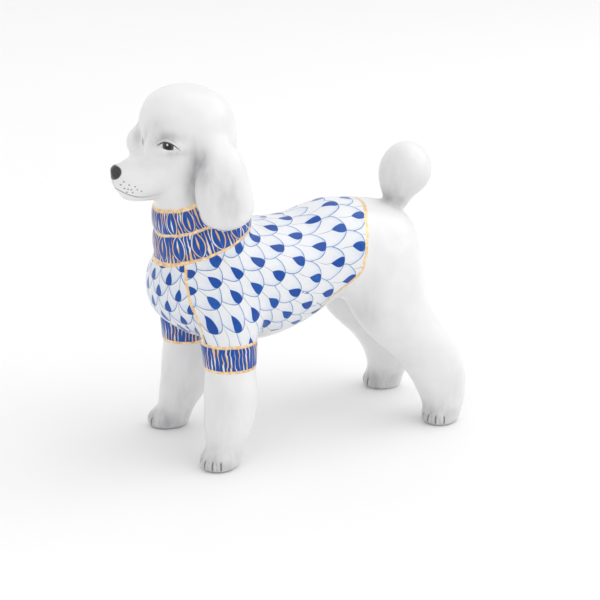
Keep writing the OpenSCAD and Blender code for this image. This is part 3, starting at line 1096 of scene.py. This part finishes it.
class DogStage(bpy.types.PropertyGroup):
    """Floor, lights and camera."""
    floor_size: FloatProperty(
        name="Floor Size", description="Width of the floor", default=8.0, unit="LENGTH")
    floor_colour: colour_property("Floor", "Plain pale floor", (0.9, 0.9, 0.9))
    floor_shade: colour_property("Floor Shade", "Faint clouding of the floor", (0.8, 0.8, 0.8))
    sky: FloatProperty(
        name="Sky", description="Brightness of the even light all round", default=0.88, min=0)
    key: FloatProperty(
        name="Key", description="Power of the large soft lamp", default=9.0, unit="POWER")
    lens: FloatProperty(
        name="Lens", description="Focal length in millimetres, on a 36 mm sensor",
        default=104.4, min=20)


# ---- One operator for each group of pieces ----

class PieceOperator:
    """Makes the pieces for its nodes, and paints its layers on them."""
    bl_options = {"REGISTER"}
    nodes = ()
    layers = ()

    def execute(self, context):
        for node in self.nodes:
            glazed_piece(node, porcelain(node + "_paint", self.layers))
        return {"FINISHED"}


class DOG_OT_torso(PieceOperator, bpy.types.Operator):
    """Model and paint the torso, with its sweater"""
    bl_idname = "dog.torso"
    bl_label = "Torso"
    nodes = ("torso_casting",)
    layers = ("sweater", "collar_foot")


class DOG_OT_head(PieceOperator, bpy.types.Operator):
    """Model and paint the head, with its face"""
    bl_idname = "dog.head"
    bl_label = "Head"
    nodes = ("head_casting",)
    layers = ("face", "collar_top")


class DOG_OT_ears(PieceOperator, bpy.types.Operator):
    """Model and glaze both ears"""
    bl_idname = "dog.ears"
    bl_label = "Ears"
    nodes = ("left_ear", "right_ear")


class DOG_OT_collar(PieceOperator, bpy.types.Operator):
    """Model and paint the two folds of the collar"""
    bl_idname = "dog.collar"
    bl_label = "Collar"
    nodes = ("lower_collar_fold", "upper_collar_fold")
    layers = ("collar",)


class DOG_OT_forelegs(PieceOperator, bpy.types.Operator):
    """Model and paint both forelegs, with their sleeves"""
    bl_idname = "dog.forelegs"
    bl_label = "Forelegs"
    nodes = ("left_foreleg", "right_foreleg")
    layers = ("sweater", "cuff_edge", "toes")


class DOG_OT_cuffs(PieceOperator, bpy.types.Operator):
    """Model and paint both cuffs"""
    bl_idname = "dog.cuffs"
    bl_label = "Cuffs"
    nodes = ("left_cuff", "right_cuff")
    layers = ("cuff",)


class DOG_OT_hind_legs(PieceOperator, bpy.types.Operator):
    """Model and glaze both hind legs"""
    bl_idname = "dog.hind_legs"
    bl_label = "Hind Legs"
    nodes = ("left_hind_leg", "right_hind_leg")
    layers = ("toes",)


class DOG_OT_tail(PieceOperator, bpy.types.Operator):
    """Model and glaze the clipped tail"""
    bl_idname = "dog.tail"
    bl_label = "Tail"
    nodes = ("tail_pompon",)


CAMERA_PLACE = Vector((0.50559, -0.26271, 0.22887))
CAMERA_AZIMUTH = math.radians(62.019)
CAMERA_ELEVATION = math.radians(17.729)
LAMP_TARGET = Vector((0, 0, 0.06))


def lay_floor(stage):
    """A plain floor with a faint clouding."""
    half = stage.floor_size / 2
    floor_corners = [(-half, -half, 0), (half, -half, 0), (half, half, 0), (-half, half, 0)]
    mesh = bpy.data.meshes.new("studio_floor")
    mesh.from_pydata(floor_corners, [], [(0, 1, 2, 3)])
    paint = Paint("studio_floor_paint")
    tone = paint.mix(paint.noise(40.0) * 0.08, stage.floor_colour, stage.floor_shade)
    mesh.materials.append(paint.finish({"Base Color": tone, "Roughness": 0.6}))
    floor = added("studio_floor", mesh)


def light(scene, stage):
    """Even light from all round, and three large soft lamps."""
    world = bpy.data.worlds.new("studio_sky")
    world.use_nodes = True
    background = world.node_tree.nodes["Background"]
    background.inputs["Color"].default_value = (1, 1, 1, 1)
    background.inputs["Strength"].default_value = stage.sky
    scene.world = world
    lamps = {
        "key_lamp": ((0.35, 0.8, 1.1), 1.7, stage.key),
        "front_lamp": ((0.9, -1.1, 0.9), 1.2, stage.key * 0.1),
        "side_lamp": ((-1.2, -0.3, 0.8), 1.2, stage.key * 0.1),
    }
    for name, (place, size, power) in lamps.items():
        lamp = bpy.data.lights.new(name, "AREA")
        lamp.size = size
        lamp.energy = power
        holder = added(name, lamp)
        holder.location = place
        holder.rotation_euler = (LAMP_TARGET - Vector(place)).to_track_quat("-Z", "Y").to_euler()


def place_camera(scene, stage):
    """Sets the scene's camera in front of the dog's left side, looking down a little."""
    camera = bpy.data.cameras.new("camera")
    camera.lens = stage.lens
    camera.sensor_width = 36
    level = math.cos(CAMERA_ELEVATION)
    right = Vector((math.cos(CAMERA_AZIMUTH), math.sin(CAMERA_AZIMUTH), 0))
    back = Vector((level * right.y, -level * right.x, math.sin(CAMERA_ELEVATION)))
    turn = Matrix((right, back.cross(right), back)).transposed()
    view = added("camera", camera)
    view.matrix_world = Matrix.Translation(CAMERA_PLACE) @ turn.to_4x4()
    scene.camera = view


class DOG_OT_stage(bpy.types.Operator):
    """Set out the floor, the lights and the camera"""
    bl_idname = "dog.stage"
    bl_label = "Stage"
    bl_options = {"REGISTER"}

    def execute(self, context):
        stage = context.scene.dog_stage
        lay_floor(stage)
        light(context.scene, stage)
        place_camera(context.scene, stage)
        context.scene.view_settings.view_transform = "Standard"
        return {"FINISHED"}


class DOG_PT_panel(bpy.types.Panel):
    """Lists the figurine's operators"""
    bl_idname = "DOG_PT_panel"
    bl_label = "Porcelain Dog"
    bl_space_type = "VIEW_3D"
    bl_region_type = "UI"
    bl_category = "Porcelain Dog"

    def draw(self, context):
        for group in SETTINGS:
            settings = getattr(context.scene, group)
            for name in settings.__annotations__:
                self.layout.prop(settings, name)
        for operator in OPERATORS:
            self.layout.operator(operator.bl_idname)


SETTINGS = {
    "dog_shape": DogShape,
    "dog_colours": DogColours,
    "dog_pattern": DogPattern,
    "dog_stage": DogStage,
}
OPERATORS = (DOG_OT_torso, DOG_OT_head, DOG_OT_ears, DOG_OT_collar, DOG_OT_forelegs, DOG_OT_cuffs,
             DOG_OT_hind_legs, DOG_OT_tail, DOG_OT_stage)
CLASSES = (*SETTINGS.values(), *OPERATORS, DOG_PT_panel)


def register():
    """Adds the classes, and the settings to the scene."""
    for cls in CLASSES:
        bpy.utils.register_class(cls)
    for name, group in SETTINGS.items():
        setattr(bpy.types.Scene, name, PointerProperty(type=group))


def unregister():
    """Takes the settings and the classes away again."""
    for name in SETTINGS:
        delattr(bpy.types.Scene, name)
    for cls in reversed(CLASSES):
        bpy.utils.unregister_class(cls)


def main():
    """Builds the figurine and its stage."""
    register()
    for operator in OPERATORS:
        group, name = operator.bl_idname.split(".")
        getattr(getattr(bpy.ops, group), name)()


if __name__ == "__main__":
    main()
